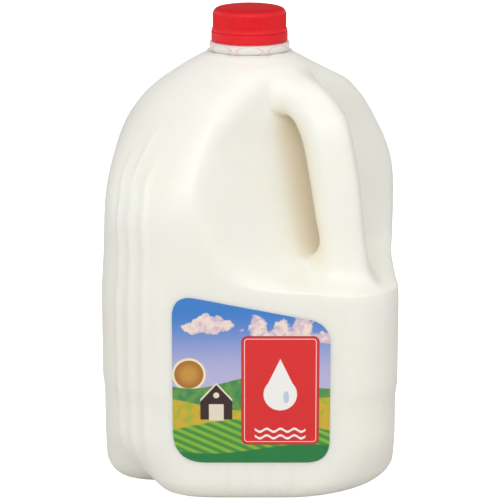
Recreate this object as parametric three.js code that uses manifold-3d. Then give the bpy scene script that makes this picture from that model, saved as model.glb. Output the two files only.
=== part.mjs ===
// Plastic milk jug of one US gallon, blow moulded, with a corner handle, a red screw cap and a front label.
// Millimetres, +Z up. The origin is the middle of the foot, and the handle points along +X, so the mould's
// parting plane is XZ. The four flat sides face halfway between the axes, and the label side faces (+X, -Y).

import * as THREE from 'three';
import { mergeVertices } from 'three/addons/utils/BufferGeometryUtils.js';
import Module from 'manifold-3d';

const wasm = await Module();
wasm.setup();

// Overall sizes
const TOTAL_HEIGHT = 246;
const HALF_WIDTH = 76.3;

// Foot: the sides round in over FOOT_RADIUS, and the upright corners are cut back far more, down to a
// round foot
const FOOT_RADIUS = 13;
const FOOT_ROUNDNESS = 59;
const FOOT_CUT_HEIGHT = 34;
const FOOT_TAPER = 1.6;
const NOTCH_DEPTH = 15;
const NOTCH_WIDTH = 9;
const NOTCH_HEIGHT = 34;
const FOOT_RING = 13;
const FOOT_SLOPE = 5;
const FOOT_DISH = 2.5;

// The shoulder behind the handle is a little fuller than the others
const FULLER_BY = 7.5;
const FULLER_MIDDLE = 54;
const FULLER_SPREAD = 38;
const FULLER_RISE = [84, 192];
const FULLER_FALL = [200, 217];

// Upright corners of the body: at the handle, at the two ribbed sides, and at the back
const HANDLE_CORNER_RADIUS = 28;
const SIDE_CORNER_RADIUS = 40;
const BACK_CORNER_RADIUS = 28;

// Heights between which those corners grow until the shoulder is round, and how much more they grow half way
const ROUNDING_HEIGHTS = [140, 212];
const ROUNDING_EXTRA = 8;

// Heights of the rings of points round the body, close together where its profile bends
const RING_HEIGHTS = [
  0, 0.6, 2.4, 5.2, 8.8, 13, 18, 23, 28, 34, 42, 50, 61, 100, 113, 126, 138, 148, 157, 165, 172, 178, 184,
  189, 193.5, 198, 202, 206, 210, 214, 218,
];

// Half the distance between opposite sides, as height above the foot and half width, up to the neck
const SIDE_PROFILE = [
  [0, 75.4], [50, 75.4], [61, HALF_WIDTH], [100, HALF_WIDTH], [126, 75], [147, 74.3], [157, 73.4],
  [168, 71.2], [177.5, 68], [186, 64.3], [195.5, 58.2], [201, 53.6], [206, 48], [210, 42.4], [215, 35],
  [219.4, 28.5], [222, 24.5],
];

// Neck with its scalloped skirt, the bumper ring and the finish that the cap screws on
const SHOULDER_TOP = 218;
const SKIRT_TOP = 223.6;
const SKIRT_RADIUS = 21.2;
const SCALLOPS = 8;
const SCALLOP_DEPTH = 1;
const SCALLOP_SAG = 1.5;
const SKIRT_STEPS = 4;
const SKIRT_FLARE = 0.8;
const RING_BOTTOM = 224.2;
const RING_TOP = 227.5;
const RING_RADIUS = 21.7;
const RING_EDGE = 0.8;
const FINISH_RADIUS = 16.6;
const FINISH_TOP = 242.6;

// Handle recess: a slightly bulging wall across the corner, as height and distance from the axis. Its ends
// fall back by WALL_BULGE at WALL_HALF_SPAN from the parting plane, and it runs on to the edges of the cut.
const WALL_PROFILE = [
  [110.5, 112], [111.5, 92], [112.3, 82], [113.2, 74], [114.8, 64], [118, 57], [124, 51], [131, 47.8],
  [147, 43], [163, 39], [176, 35.8], [184, 34], [196, 32.6], [206, 31.2], [212, 30.3], [216, 31.5], [219, 40],
];
const WALL_BULGE = 7;
const WALL_HALF_SPAN = 70;
const WALL_STEPS = 16;
const CUT_HALF_WIDTH = 105;
const CUT_REACH = 140;

// Handle: its middle line in the parting plane, with its reach inward, outward to the virtual corner, and
// across, and how steeply its two outer faces fall off from that corner: 1 is parallel to the jug's sides.
const HANDLE_PATH = [
  [8, 200, 14, 16, 22, 0.4], [24, 203.5, 9, 15, 17, 0.4], [36, 201.5, 7, 13.5, 14.5, 0.45],
  [46, 197.5, 7.5, 14, 13.3, 0.65], [52.5, 190, 8.5, 16.5, 13.3, 0.85], [55.5, 182.5, 8, 18, 13.3, 1],
  [60.5, 163, 7.8, 18, 13.3, 1], [64.2, 147, 7.8, 17.2, 13.3, 1], [68, 135, 7.8, 15, 13.3, 1],
  [69.4, 130, 12.5, 14.4, 13.3, 1], [70.2, 126, 18, 14.4, 13.6, 1], [70.8, 120.5, 22, 15, 15, 1],
  [71, 115.5, 24, 17.5, 17, 1], [71, 110, 24, 23, 19, 1], [70, 98, 20, 22, 20, 1],
];
const HANDLE_STEPS = 34;

// Roundings of the handle's section, as radius and number of steps
const INNER_CORNER = [6.2, 4];
const SIDE_CORNER = [5, 2];
const OUTER_CORNER = [7, 4];

// Three upright ribs on each of the two side corners, set a little towards the label side and its mirror
// image
const RIB_COUNT = 3;
const RIB_PITCH = 5.9;
const RIB_SHIFT = 2.6;
const RIB_HEIGHT = 1.1;
const RIB_TOP = 190;
const RIB_FADE = 22;
const RIB_FOOT = [8, 40];
const RIB_SAMPLES = 6;

// Flat panel on the label side and its mirror image, set back from the belt round the jug
const PANEL_DEPTH = 75.2;
const PANEL_HALF_WIDTH = 46;
const PANEL_EDGE = 5;
const PANEL_BOTTOM = 10;
const PANEL_TOP = 117;
const PANEL_SECTOR = 60;

// Label: its corners as distance along the side and height, each with the reach of its rounding
const LABEL_CORNERS = [[-38.8, 23.2, 17], [40.6, 23.2, 12], [40.6, 96.3, 11], [-38.8, 111.7, 12]];
const LABEL_GAP = 0.2;
const LABEL_THICKNESS = 0.3;
const LABEL_CURVE_STEPS = 8;

// Cap: a plain tamper band, an upright knurl above it, and a rounded top edge
const CAP_BOTTOM = 228;
const BAND_TOP = 233;
const BAND_RADIUS = 19.8;
const BAND_EDGE = 0.4;
const KNURL_BOTTOM = 233.6;
const KNURL_TOP = 241.8;
const KNURL_RADIUS = 19.1;
const KNURL_DEPTH = 0.4;
const KNURL_RIBS = 96;
const CAP_TOP_RADIUS = 18.4;
const CAP_EDGE = 2.6;
const CAP_EDGE_STEPS = 5;
const CAP_WALL = 1.4;
const CAP_SIDES = 60;

// Points closer than this are one
const MERGE_WITHIN = 1e-4;

const radians = THREE.MathUtils.degToRad;
const clamp01 = (value) => Math.min(1, Math.max(0, value));
const smoothStep = (from, to, value) => {
  const t = clamp01((value - from) / (to - from));
  return t * t * (3 - 2 * t);
};

// A smooth curve through [position, value] pairs that never overshoots them (monotone cubic)
function curveThrough(pairs) {
  const slopes = pairs.map((_, i) => {
    if (i === 0 || i === pairs.length - 1) return 0;
    const before = (pairs[i][1] - pairs[i - 1][1]) / (pairs[i][0] - pairs[i - 1][0]);
    const after = (pairs[i + 1][1] - pairs[i][1]) / (pairs[i + 1][0] - pairs[i][0]);
    return before * after <= 0 ? 0 : (2 * before * after) / (before + after);
  });
  return (position) => {
    if (position <= pairs[0][0]) return pairs[0][1];
    const i = pairs.findIndex((pair) => pair[0] >= position);
    if (i < 0) return pairs[pairs.length - 1][1];
    const span = pairs[i][0] - pairs[i - 1][0];
    const t = (position - pairs[i - 1][0]) / span;
    const [h00, h10] = [(1 + 2 * t) * (1 - t) ** 2, t * (1 - t) ** 2];
    const [h01, h11] = [t * t * (3 - 2 * t), t * t * (t - 1)];
    return h00 * pairs[i - 1][1] + h10 * span * slopes[i - 1] + h01 * pairs[i][1] + h11 * span * slopes[i];
  };
}

const halfWidthAt = curveThrough(SIDE_PROFILE);
const wallAt = curveThrough(WALL_PROFILE);

// Signed angle from one direction to another, in degrees from -180 to 180
const angleFrom = (angle, centre) => ((((angle - centre + 180) % 360) + 360) % 360) - 180;

// Radius of the upright corner that is nearest to a direction, growing over the shoulder until it is round
function cornerRadius(angle, z, halfWidth) {
  const off = Math.abs(angleFrom(angle, 0));
  const low = off < 45 ? HANDLE_CORNER_RADIUS : off < 135 ? SIDE_CORNER_RADIUS : BACK_CORNER_RADIUS;
  const upper = smoothStep(...ROUNDING_HEIGHTS, z);
  const side = low + (halfWidth - low) * upper + ROUNDING_EXTRA * upper * (1 - upper);
  const foot = (FOOT_ROUNDNESS - low) * (1 - clamp01(z / FOOT_CUT_HEIGHT)) ** FOOT_TAPER;
  return Math.min(halfWidth, side + foot);
}

// Distance from the axis to a rounded square whose sides face halfway between the axes
function roundedSquare(angle, halfWidth, radius) {
  const side = Math.round((angle - 45) / 90) * 90 + 45;
  const off = radians(Math.abs(angleFrom(angle, side)));
  const flat = halfWidth - radius;
  if (halfWidth * Math.tan(off) <= flat) return halfWidth / Math.cos(off);
  const along = flat * (Math.cos(off) + Math.sin(off));
  return along + Math.sqrt(Math.max(0, radius * radius - 2 * flat * flat + along * along));
}

// Height of the ribs above the skin of the two side corners
function ribRelief(angle, z) {
  const off = angleFrom(Math.abs(angleFrom(angle, 0)), 90 - RIB_SHIFT);
  if (Math.abs(off) > (RIB_COUNT / 2) * RIB_PITCH) return 0;
  const across = Math.cos((Math.PI * off) / RIB_PITCH) ** 2;
  return RIB_HEIGHT * across * smoothStep(RIB_TOP, RIB_TOP - RIB_FADE, z) * smoothStep(...RIB_FOOT, z);
}

// How far the flat panel of the label side and its mirror image reaches at a place on the skin, from 0 to 1
function panelShare(angle, z) {
  const off = Math.abs(angleFrom(Math.abs(angleFrom(angle, 0)), 45));
  const across = smoothStep(PANEL_HALF_WIDTH + PANEL_EDGE, PANEL_HALF_WIDTH - PANEL_EDGE,
    PANEL_DEPTH * Math.tan(radians(off)));
  const upright = smoothStep(PANEL_BOTTOM - PANEL_EDGE, PANEL_BOTTOM, z);
  return off < PANEL_SECTOR ? across * upright * smoothStep(PANEL_TOP + PANEL_EDGE, PANEL_TOP, z) : 0;
}

// Depth of the upright notch that parts the foot below each ribbed corner
function footNotch(angle, z) {
  const off = angleFrom(Math.abs(angleFrom(angle, 0)), 90) / NOTCH_WIDTH;
  return NOTCH_DEPTH * Math.exp(-off * off) * (1 - clamp01(z / NOTCH_HEIGHT)) ** FOOT_TAPER;
}

// Distance from the axis to the body's skin, before the handle recess is cut
function skinRadius(angle, z) {
  const off = angleFrom(angle, FULLER_MIDDLE) / FULLER_SPREAD;
  const upright = smoothStep(...FULLER_RISE, z) * (1 - smoothStep(...FULLER_FALL, z));
  const halfWidth = halfWidthAt(z) + FULLER_BY * Math.max(0, 1 - off * off) * upright;
  const corner = cornerRadius(angle, z, halfWidth);
  const foot = FOOT_RADIUS - Math.sqrt(FOOT_RADIUS ** 2 - Math.max(0, FOOT_RADIUS - z) ** 2);
  return roundedSquare(angle, halfWidth - foot, corner - foot) + ribRelief(angle, z) - footNotch(angle, z);
}

// The skin with the label panels pressed flat
function bodyRadius(angle, z) {
  const skin = skinRadius(angle, z);
  const off = radians(angleFrom(Math.abs(angleFrom(angle, 0)), 45));
  return skin + panelShare(angle, z) * Math.min(0, PANEL_DEPTH / Math.cos(off) - skin);
}

// Directions of the columns round the body: close together over the ribs and round the corners. Each stretch
// of the half turn has its end and its number of columns.
function columnAngles() {
  const ribs = (RIB_COUNT / 2) * RIB_PITCH;
  const [ribStart, ribEnd] = [90 - RIB_SHIFT - ribs, 90 - RIB_SHIFT + ribs];
  const stretches = [[30, 6], [ribStart, 9], [ribEnd, RIB_COUNT * RIB_SAMPLES], [118, 4], [152, 5], [180, 6]];
  const half = [];
  let from = 0;
  for (const [to, count] of stretches) {
    for (let i = 0; i < count; i++) half.push(from + ((to - from) * i) / count);
    from = to;
  }
  return [...half, 180, ...half.slice(1).reverse().map((angle) => 360 - angle)];
}

const COLUMNS = columnAngles();

// A closed mesh through rings of points, each end closed by a fan on the ring's middle
function loft(rings) {
  const count = rings[0].length;
  const middle = (ring) => ring.reduce((sum, p) => sum.add(p), new THREE.Vector3()).divideScalar(count);
  const points = [...rings.flat(), middle(rings[0]), middle(rings[rings.length - 1])];
  const first = rings.length * count;
  const index = [];
  for (let i = 0; i < count; i++) {
    const next = (i + 1) % count;
    for (let k = 0; k + 1 < rings.length; k++) {
      const [a, b, c, d] = [k * count + i, k * count + next, (k + 1) * count + next, (k + 1) * count + i];
      index.push(a, b, c, a, c, d);
    }
    index.push(first, next, i, first + 1, first - count + i, first - count + next);
  }
  const geometry = new THREE.BufferGeometry();
  geometry.setAttribute('position', new THREE.Float32BufferAttribute(points.flatMap((p) => p.toArray()), 3));
  geometry.setIndex(index);
  return geometry;
}

function ring(radiusOf, z) {
  return COLUMNS.map((angle) => {
    const radius = radiusOf(angle);
    return new THREE.Vector3(radius * Math.cos(radians(angle)), radius * Math.sin(radians(angle)), z);
  });
}

// Body with its foot, shoulder and neck, as rings from the middle of the foot up to the neck's mouth
function bodyGeometry() {
  const rings = [];
  rings.push(ring((angle) => bodyRadius(angle, 0) - FOOT_RING - FOOT_SLOPE, FOOT_DISH));
  rings.push(ring((angle) => bodyRadius(angle, 0) - FOOT_RING, 0));
  for (const z of RING_HEIGHTS) rings.push(ring((angle) => bodyRadius(angle, z), z));
  const shoulder = bodyRadius(180, SHOULDER_TOP);
  for (let step = 1; step <= SKIRT_STEPS; step++) {
    const share = step / SKIRT_STEPS;
    const radius = shoulder + (SKIRT_RADIUS - shoulder) * share ** SKIRT_FLARE;
    const depth = SCALLOP_DEPTH * Math.sin(Math.PI * share ** SCALLOP_SAG);
    const lobe = (angle) => depth * (Math.abs(Math.sin(radians((angle - 45) * SCALLOPS / 2))) - 1);
    rings.push(ring((angle) => radius + lobe(angle), SHOULDER_TOP + (SKIRT_TOP - SHOULDER_TOP) * share));
  }
  const round = (radius, z) => rings.push(ring(() => radius, z));
  round(RING_RADIUS - RING_EDGE, RING_BOTTOM);
  round(RING_RADIUS, RING_BOTTOM + RING_EDGE);
  round(RING_RADIUS, RING_TOP - RING_EDGE);
  round(RING_RADIUS - RING_EDGE, RING_TOP);
  round(FINISH_RADIUS, RING_TOP);
  round(FINISH_RADIUS, FINISH_TOP);
  return loft(rings);
}

// What the handle recess takes away: everything beyond its bulging wall, between the ledge and the neck
function recessGeometry() {
  const heights = WALL_PROFILE.map(([z]) => z);
  const between = heights.slice(1).map((z, i) => (z + heights[i]) / 2);
  const level = (z) => {
    const wall = Array.from({ length: WALL_STEPS + 1 }, (_, i) => {
      const y = CUT_HALF_WIDTH * (1 - (2 * i) / WALL_STEPS);
      return new THREE.Vector3(wallAt(z) - WALL_BULGE * (y / WALL_HALF_SPAN) ** 2, y, z);
    });
    return [...wall, ...[-1, 1].map((end) => new THREE.Vector3(CUT_REACH, end * CUT_HALF_WIDTH, z))];
  };
  return loft([...heights, ...between].sort((a, b) => a - b).map(level));
}

// A closed outline with rounded corners, each corner given by its place, radius and number of steps
function roundedOutline(corners) {
  return corners.flatMap(([corner, radius, steps], i) => {
    const before = corners[(i + corners.length - 1) % corners.length][0];
    const after = corners[(i + 1) % corners.length][0];
    const [arriving, leaving] = [corner.clone().sub(before), after.clone().sub(corner)];
    const turn = Math.acos(arriving.dot(leaving) / (arriving.length() * leaving.length()));
    const room = Math.min(arriving.length(), leaving.length()) / 2;
    const reach = Math.min(room, radius * Math.tan(turn / 2));
    const start = corner.clone().addScaledVector(arriving.clone().normalize(), -reach);
    const inward = new THREE.Vector2(-arriving.y, arriving.x).setLength(reach / Math.tan(turn / 2));
    const centre = start.clone().add(inward);
    const arc = Array.from({ length: steps + 1 }, (_, k) => (turn * k) / steps);
    return arc.map((angle) => start.clone().rotateAround(centre, angle));
  });
}

// One section of the handle, as points outward and across
function handleSection(inward, outward, across, slope) {
  const corner = (out, side, rounding) => [new THREE.Vector2(out, side), ...rounding];
  const flank = outward - across * slope;
  return roundedOutline([
    corner(-inward, -across, INNER_CORNER),
    corner(flank, -across, SIDE_CORNER),
    corner(outward, 0, OUTER_CORNER),
    corner(flank, across, SIDE_CORNER),
    corner(-inward, across, INNER_CORNER),
  ]).reverse();
}

// Handle as sections along its middle line
function handleGeometry() {
  const stations = HANDLE_PATH.map(([x, z]) => new THREE.Vector3(x, 0, z));
  const path = new THREE.CatmullRomCurve3(stations, false, 'centripetal');
  const steps = HANDLE_PATH.map((row, i) => [i / (HANDLE_PATH.length - 1), row]);
  const sizes = [2, 3, 4, 5].map((column) => curveThrough(steps.map(([t, row]) => [t, row[column]])));
  const rings = [];
  for (let k = 0; k <= HANDLE_STEPS; k++) {
    const t = k / HANDLE_STEPS;
    const centre = path.getPoint(t);
    const along = path.getTangent(t);
    const out = new THREE.Vector3(-along.z, 0, along.x);
    const section = handleSection(...sizes.map((size) => size(t)));
    rings.push(section.map((point) => {
      const place = centre.clone().addScaledVector(out, point.x);
      place.y += point.y;
      return place;
    }));
  }
  return loft(rings);
}

// manifold solids from closed meshes and back
function toSolid(source) {
  const geometry = source.clone();
  geometry.deleteAttribute('normal');
  geometry.deleteAttribute('uv');
  const merged = mergeVertices(geometry, MERGE_WITHIN);
  return new wasm.Manifold(new wasm.Mesh({
    numProp: 3,
    vertProperties: new Float32Array(merged.attributes.position.array),
    triVerts: new Uint32Array(merged.index.array),
  }));
}

function fromSolid(solid) {
  const mesh = solid.getMesh();
  const geometry = new THREE.BufferGeometry();
  geometry.setAttribute('position', new THREE.Float32BufferAttribute(mesh.vertProperties, 3));
  geometry.setIndex(Array.from(mesh.triVerts));
  geometry.computeVertexNormals();
  return geometry;
}

function jugGeometry() {
  const hollowed = toSolid(bodyGeometry()).subtract(toSolid(recessGeometry()));
  return fromSolid(hollowed.add(toSolid(handleGeometry())));
}

// Label: an outline with slanted top and rounded corners, on the side that faces (+X, -Y)
function labelGeometry() {
  const shape = new THREE.Shape();
  const corners = LABEL_CORNERS.map(([along, z, reach]) => ({ at: new THREE.Vector2(along, z), reach }));
  corners.forEach((corner, i) => {
    const before = corners[(i + corners.length - 1) % corners.length].at;
    const after = corners[(i + 1) % corners.length].at;
    const start = corner.at.clone().add(before.clone().sub(corner.at).setLength(corner.reach));
    const end = corner.at.clone().add(after.clone().sub(corner.at).setLength(corner.reach));
    if (i === 0) shape.moveTo(start.x, start.y);
    else shape.lineTo(start.x, start.y);
    shape.quadraticCurveTo(corner.at.x, corner.at.y, end.x, end.y);
  });
  shape.closePath();
  const options = { depth: LABEL_THICKNESS, bevelEnabled: false, curveSegments: LABEL_CURVE_STEPS };
  return new THREE.ExtrudeGeometry(shape, options);
}

// Cap: a turned shell over the finish, with its knurl as a toothed ring
function capGeometry() {
  const topInside = TOTAL_HEIGHT - CAP_WALL;
  const bore = BAND_RADIUS - CAP_WALL;
  const core = KNURL_RADIUS - KNURL_DEPTH;
  const topBore = core - CAP_WALL;
  const profile = [[0, topInside], [topBore, topInside], [topBore, BAND_TOP], [bore, BAND_TOP - CAP_WALL]];
  profile.push([bore, CAP_BOTTOM], [BAND_RADIUS, CAP_BOTTOM], [BAND_RADIUS, BAND_TOP - BAND_EDGE]);
  profile.push([BAND_RADIUS - BAND_EDGE, BAND_TOP], [core, BAND_TOP], [core, KNURL_TOP]);
  for (let step = 0; step <= CAP_EDGE_STEPS; step++) {
    const turn = radians((90 * step) / CAP_EDGE_STEPS);
    const out = CAP_TOP_RADIUS - CAP_EDGE * (1 - Math.cos(turn));
    profile.push([out, TOTAL_HEIGHT - CAP_EDGE * (1 - Math.sin(turn))]);
  }
  profile.push([0, TOTAL_HEIGHT]);
  const points = profile.map(([radius, z]) => new THREE.Vector2(radius, z));
  const shell = new THREE.LatheGeometry(points, CAP_SIDES).rotateX(Math.PI / 2);
  const teeth = new THREE.Shape();
  for (let i = 0; i < 2 * KNURL_RIBS; i++) {
    const turn = (Math.PI * i) / KNURL_RIBS;
    const radius = KNURL_RADIUS - (i % 2) * KNURL_DEPTH;
    if (i === 0) teeth.moveTo(radius, 0);
    else teeth.lineTo(radius * Math.cos(turn), radius * Math.sin(turn));
  }
  teeth.closePath();
  const hole = new THREE.Path();
  hole.absarc(0, 0, topBore + CAP_WALL / 2, 0, 2 * Math.PI, true);
  teeth.holes.push(hole);
  const height = KNURL_TOP - KNURL_BOTTOM;
  const options = { depth: height, bevelEnabled: false, curveSegments: CAP_SIDES / 2 };
  const knurl = new THREE.ExtrudeGeometry(teeth, options);
  return fromSolid(toSolid(shell).add(toSolid(knurl.translate(0, 0, KNURL_BOTTOM))));
}

function part(name, geometry, color, roughness) {
  const mesh = new THREE.Mesh(geometry, new THREE.MeshStandardMaterial({ color, roughness, metalness: 0 }));
  mesh.name = name;
  return mesh;
}

const jug = part('jug', jugGeometry(), 0xf3f0e4, 0.38);
const cap = part('cap', capGeometry(), 0xd7263a, 0.42);

// The label's group turns its outline upright and lays its back just off the panel
const label = part('label', labelGeometry(), 0x4f8fd0, 0.35);
label.rotation.x = Math.PI / 2;
const labelSide = new THREE.Group();
labelSide.rotation.z = Math.PI / 4;
label.position.y = -(PANEL_DEPTH + LABEL_GAP);
labelSide.add(label);

const milkJug = new THREE.Group();
milkJug.add(jug, cap, labelSide);
export default milkJug;
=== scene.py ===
"""A full plastic milk jug: a blow-moulded jug with a corner handle, a red screw cap and a printed label.

Shapes are worked out in millimetres, as on a drawing, and each finished mesh is brought to metres. The jug
stands on the floor with its handle along +X, and the label is on the side that faces (+X, -Y).
"""
import math
import bmesh
import bpy
import numpy as np
from mathutils import Matrix, Vector


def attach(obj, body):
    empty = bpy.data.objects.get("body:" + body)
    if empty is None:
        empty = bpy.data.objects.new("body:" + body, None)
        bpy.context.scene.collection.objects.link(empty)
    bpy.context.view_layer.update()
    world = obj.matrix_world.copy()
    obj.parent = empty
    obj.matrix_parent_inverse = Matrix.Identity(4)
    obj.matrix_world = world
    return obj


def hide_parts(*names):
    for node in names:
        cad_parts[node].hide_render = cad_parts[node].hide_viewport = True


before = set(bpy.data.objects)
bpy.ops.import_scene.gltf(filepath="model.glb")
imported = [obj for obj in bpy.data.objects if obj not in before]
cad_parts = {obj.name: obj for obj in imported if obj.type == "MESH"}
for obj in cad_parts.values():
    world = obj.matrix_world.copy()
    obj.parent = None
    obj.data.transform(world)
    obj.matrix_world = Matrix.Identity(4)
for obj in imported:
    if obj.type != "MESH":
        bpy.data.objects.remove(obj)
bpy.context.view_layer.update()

MM = 0.001
BODY = "root"

# Jug body, as half the distance between opposite sides at each height. Its corners face along the axes, and
# its sides face halfway between them, in degrees from the handle.
HALF_WIDTH = 76.3
SIDE_PROFILE = [
    (0, 75.4), (50, 75.4), (61, HALF_WIDTH), (100, HALF_WIDTH), (126, 75), (147, 74.3), (157, 73.4),
    (168, 71.2), (177.5, 68), (186, 64.3), (195.5, 58.2), (201, 53.6), (206, 48), (210, 42.4), (215, 35),
    (219.4, 27.4), (221.4, 23.4), (222.8, 20.6), (224, 20),
]
SIDE_DIRECTION = 45
HANDLE_CORNER, SIDE_CORNER, BACK_CORNER = 28, 40, 28
ROUNDING_HEIGHTS = (140, 212)
ROUNDING_EXTRA = 8

# The fuller shoulder behind the handle: by how much, in which direction, over how many degrees, and the
# heights where it swells and where it ends
FULLER_BY, FULLER_MIDDLE, FULLER_SPREAD = 7.5, 54, 38
FULLER_RISE = (84, 192)
FULLER_FALL = (200, 217)

# Foot, with the notch below each ribbed corner
FOOT_RADIUS, FOOT_ROUNDNESS, FOOT_CUT_HEIGHT, FOOT_TAPER = 13, 59, 34, 1.6
NOTCH_DIRECTION, NOTCH_DEPTH, NOTCH_WIDTH, NOTCH_HEIGHT = 90, 15, 9, 34

# Ribs on the two side corners: the direction of the middle one and their pitch in degrees, each by height,
# then the height of each tip from the label side round
RIB_MIDDLE = [(130, 86.4), (145, 87.7), (157, 88.7), (165, 91), (175, 91.8), (190, 91.5)]
RIB_PITCH = [(130, 5.25), (145, 5.3), (157, 5.6), (165, 6.3), (175, 7.4), (190, 7.4)]
RIB_HEIGHT, RIB_HALF_WIDTH = 1.15, 2.2
RIB_TIPS = (180, 192, 181)
RIB_FADE = 9
RIB_FOOT = (8, 40)

# Flat label panels, and the upright grooves that show below the label
PANEL_DEPTH, PANEL_HALF_WIDTH, PANEL_EDGE = 75.2, 46, 5
PANEL_BOTTOM, PANEL_TOP, PANEL_SECTOR = 10, 117, 60
GROOVE_PLACES = (-11.6, -1.3, 10.3, 20.8)
GROOVE_DEPTH, GROOVE_WIDTH = 0.55, 1.3
GROOVE_RISE = (0, 4)
GROOVE_FALL = (20, 25)

# Wall and ledge of the handle recess, as height and distance from the axis
WALL_PROFILE = [
    (110.5, 112), (111.5, 92), (112.3, 82), (113.2, 74), (114.8, 64), (118, 57), (124, 51), (131, 47.8),
    (147, 43), (163, 39), (176, 35.8), (184, 34), (196, 32.6), (206, 31.2), (212, 30.3), (216, 31.5),
    (219, 40),
]
WALL_BULGE, WALL_HALF_SPAN = 7, 70

# Handle's middle line beside the gap, as height and distance from the axis
HANDLE_LINE = [(110, 71), (132.5, 68.2), (147, 64.2), (163, 60.5), (182.5, 55.5), (192, 50), (200, 40)]

# How close points are merged, how finely the body is remeshed, and how softly its edges are rounded. The
# recess edge is softened within a reach of it, apart from the far ledge, and so is the handle's upper root.
MERGE_REACH, SEAM_REACH = 0.01, 0.0001
VOXEL = 1.5
BODY_ROUNDS = 10
EDGE_REACH, EDGE_ROUNDS, LEDGE_TOP = 9, 26, 122
ROOT_HEIGHTS, ROOT_START, ROOT_ROUNDS = (196, 217), 22, 30

# Where the remeshed body is laid on the exact skin and wall: outside and inside the recess edge, within a
# small reach of the exact surface, and between these heights
SKIN_SIDE, SKIN_REACH = (-9, -2), (1.6, 3.2)
SKIN_RISE, SKIN_FALL = (1.5, 4), (221.5, 223)
WALL_SIDE, WALL_REACH, WALL_TRUE_TOP = (2, 9), (0.5, 1.6), 214

# Mould's parting line, a low ridge in the plane of the handle
PARTING_HEIGHT, PARTING_WIDTH = 0.28, 0.8
PARTING_RISE = (2, 6)

# Painted shade, darker and warmer, in the gap behind the handle: its heights, how far it reaches past the
# handle's middle line and round the wall, and its share on the handle itself
GAP_SHADE_RISE, GAP_SHADE_FALL = (114, 130), (196, 208)
GAP_SHADE_PAST_HANDLE, GAP_SHADE_ACROSS_WALL = (-8, 3.5), (2, 20)
GAP_SHADE_ON_HANDLE, GAP_SHADE_START, HANDLE_CLEARANCE = 0.75, 20, 5

# Neck: the round bumper ring with its oval scoops, and the waist that runs up into the cap
RING_MIDDLE, RING_RADIUS, RING_THICKNESS = 225.2, 21.9, 4.8
WAIST_RADIUS, WAIST_TOP, WAIST_TAPER, WAIST_FILLET = 18.4, 229.5, 0.5, 0.6
NECK_OVERLAP, BODY_INSET = 1, 1
SCOOPS, SCOOP_DEPTH, SCOOP_HALF_HEIGHT, SCOOP_HALF_ANGLE = 8, 1.1, 2.5, 20
SCOOP_MIDDLE, SCOOP_HOLLOW = 224.8, 0.6
RING_STEPS, NECK_STEPS = 28, 256

# Cap: a knurled shell over a plain tamper band, with a fine gap between them
CAP_TOP = 246
CAP_BOTTOM = 228
CAP_DOME = [
    (18.95, 242.55), (18.75, 242.9), (18.45, 243.6), (17.7, 244.4), (16.2, 245.05), (13.5, 245.55),
    (9, 245.88), (4, 245.98),
]
CAP_WALL, CAP_EDGE = 1.4, 0.4
BAND_RADIUS, BAND_TOP, BAND_EDGE = 19.8, 233, 0.35
GAP_DEPTH, GAP_HEIGHT = 0.55, 0.2
SKIRT_INSET, SKIRT_CHAMFER, SKIRT_CHAMFER_HEIGHT = 0.5, 0.25, 0.35
KNURL_RADIUS, KNURL_DEPTH, KNURL_RIBS, KNURL_SHARPNESS = 19.1, 0.55, 96, 1.3
KNURL_BOTTOM, KNURL_TOP = 234.4, 242.2
KNURL_MARGIN = 0.1
KNURL_RISE = (KNURL_BOTTOM - KNURL_MARGIN, KNURL_BOTTOM + 0.5)
KNURL_FALL = (KNURL_TOP - 0.6, KNURL_TOP + 0.5)
CAP_ARC_STEPS, KNURL_STEPS, CAP_STEPS = 4, 12, 576

# Label: corners as distance along the side and height, each with the reach of its rounding
LABEL_CORNERS = [(-38.8, 23.2, 17), (40.6, 23.2, 12), (40.6, 96.3, 11), (-38.8, 111.7, 12)]
LABEL_GAP, LABEL_THICKNESS, LABEL_EDGE, LABEL_CURVE_STEPS = 0.2, 0.3, 0.12, 14
LABEL_TURN = math.radians(SIDE_DIRECTION)

# Print, in millimetres along the label and up the jug. A cloud is its middle and half sizes, a wave is its
# length, shift, height and level, and the barn is its left, right, bottom, eaves and peak. The plaque is the
# red field with the drop of milk.
PRINT_EDGE = 0.35
HORIZON, SKY_TOP = 66, 104
CLOUDS = ((22, 90, 26, 9), (-22, 96, 15, 5))
CLOUD_FALLOFF, CLOUD_EDGE = 0.34, (0.20, 0.27)
SUN_PLACE, SUN_RADIUS, SUN_CORE, SUN_HALO = (-30.5, 70.0), 7.5, 2, 1.2
HILL_WAVE = (70, 12, 3.2, HORIZON)
FIELD_WAVE = (95, -20, 3.5, 55)
LAWN_WAVE = (120, 30, 4, 43)
MEADOW_WAVE = (100, -5, 2.5, 31)
FIELD_EDGE = 0.8
LAWN_ROWS_SLANT, LAWN_ROWS_TURN = 0.45, 1.6
BARN = (-25.0, -8.5, 46.0, 57.0, 66.0)
BARN_TRIM, BARN_TRIM_EDGE = 1.6, 0.3
DOOR_MIDDLE, DOOR_HALF, DOOR_CORNER, DOOR_MARGIN = 50, (3.6, 4.2), 0.2, 0.5
LOFT_MIDDLE, LOFT_RADIUS = 59.0, 1.7
PLAQUE_MIDDLE, PLAQUE_HALF, PLAQUE_ROUND = (15.5, 61.5), (19.5, 28.5), 3.0
PLAQUE_RIM, PLAQUE_LINE, PLAQUE_LINE_EDGE = 0.3, (1.75, 1.2), 0.15
DROP_DOWN, DROP_RADIUS, DROP_PEAK, DROP_SLOPE, DROP_JOIN = 2, 8.6, 17, 0.48, 1.4
SHINE_OFF, SHINE_RADIUS, SHINE_WIDTH = (3.0, -3.5), 3.4, 0.45
RIPPLES, RIPPLE_TURN, RIPPLE_HEIGHT, RIPPLE_HALF_LENGTH = (40.5, 37.0), 0.9, 0.8, 13
RIPPLE_THICKNESS, RIPPLE_EDGE = 0.75, 0.3

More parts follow.
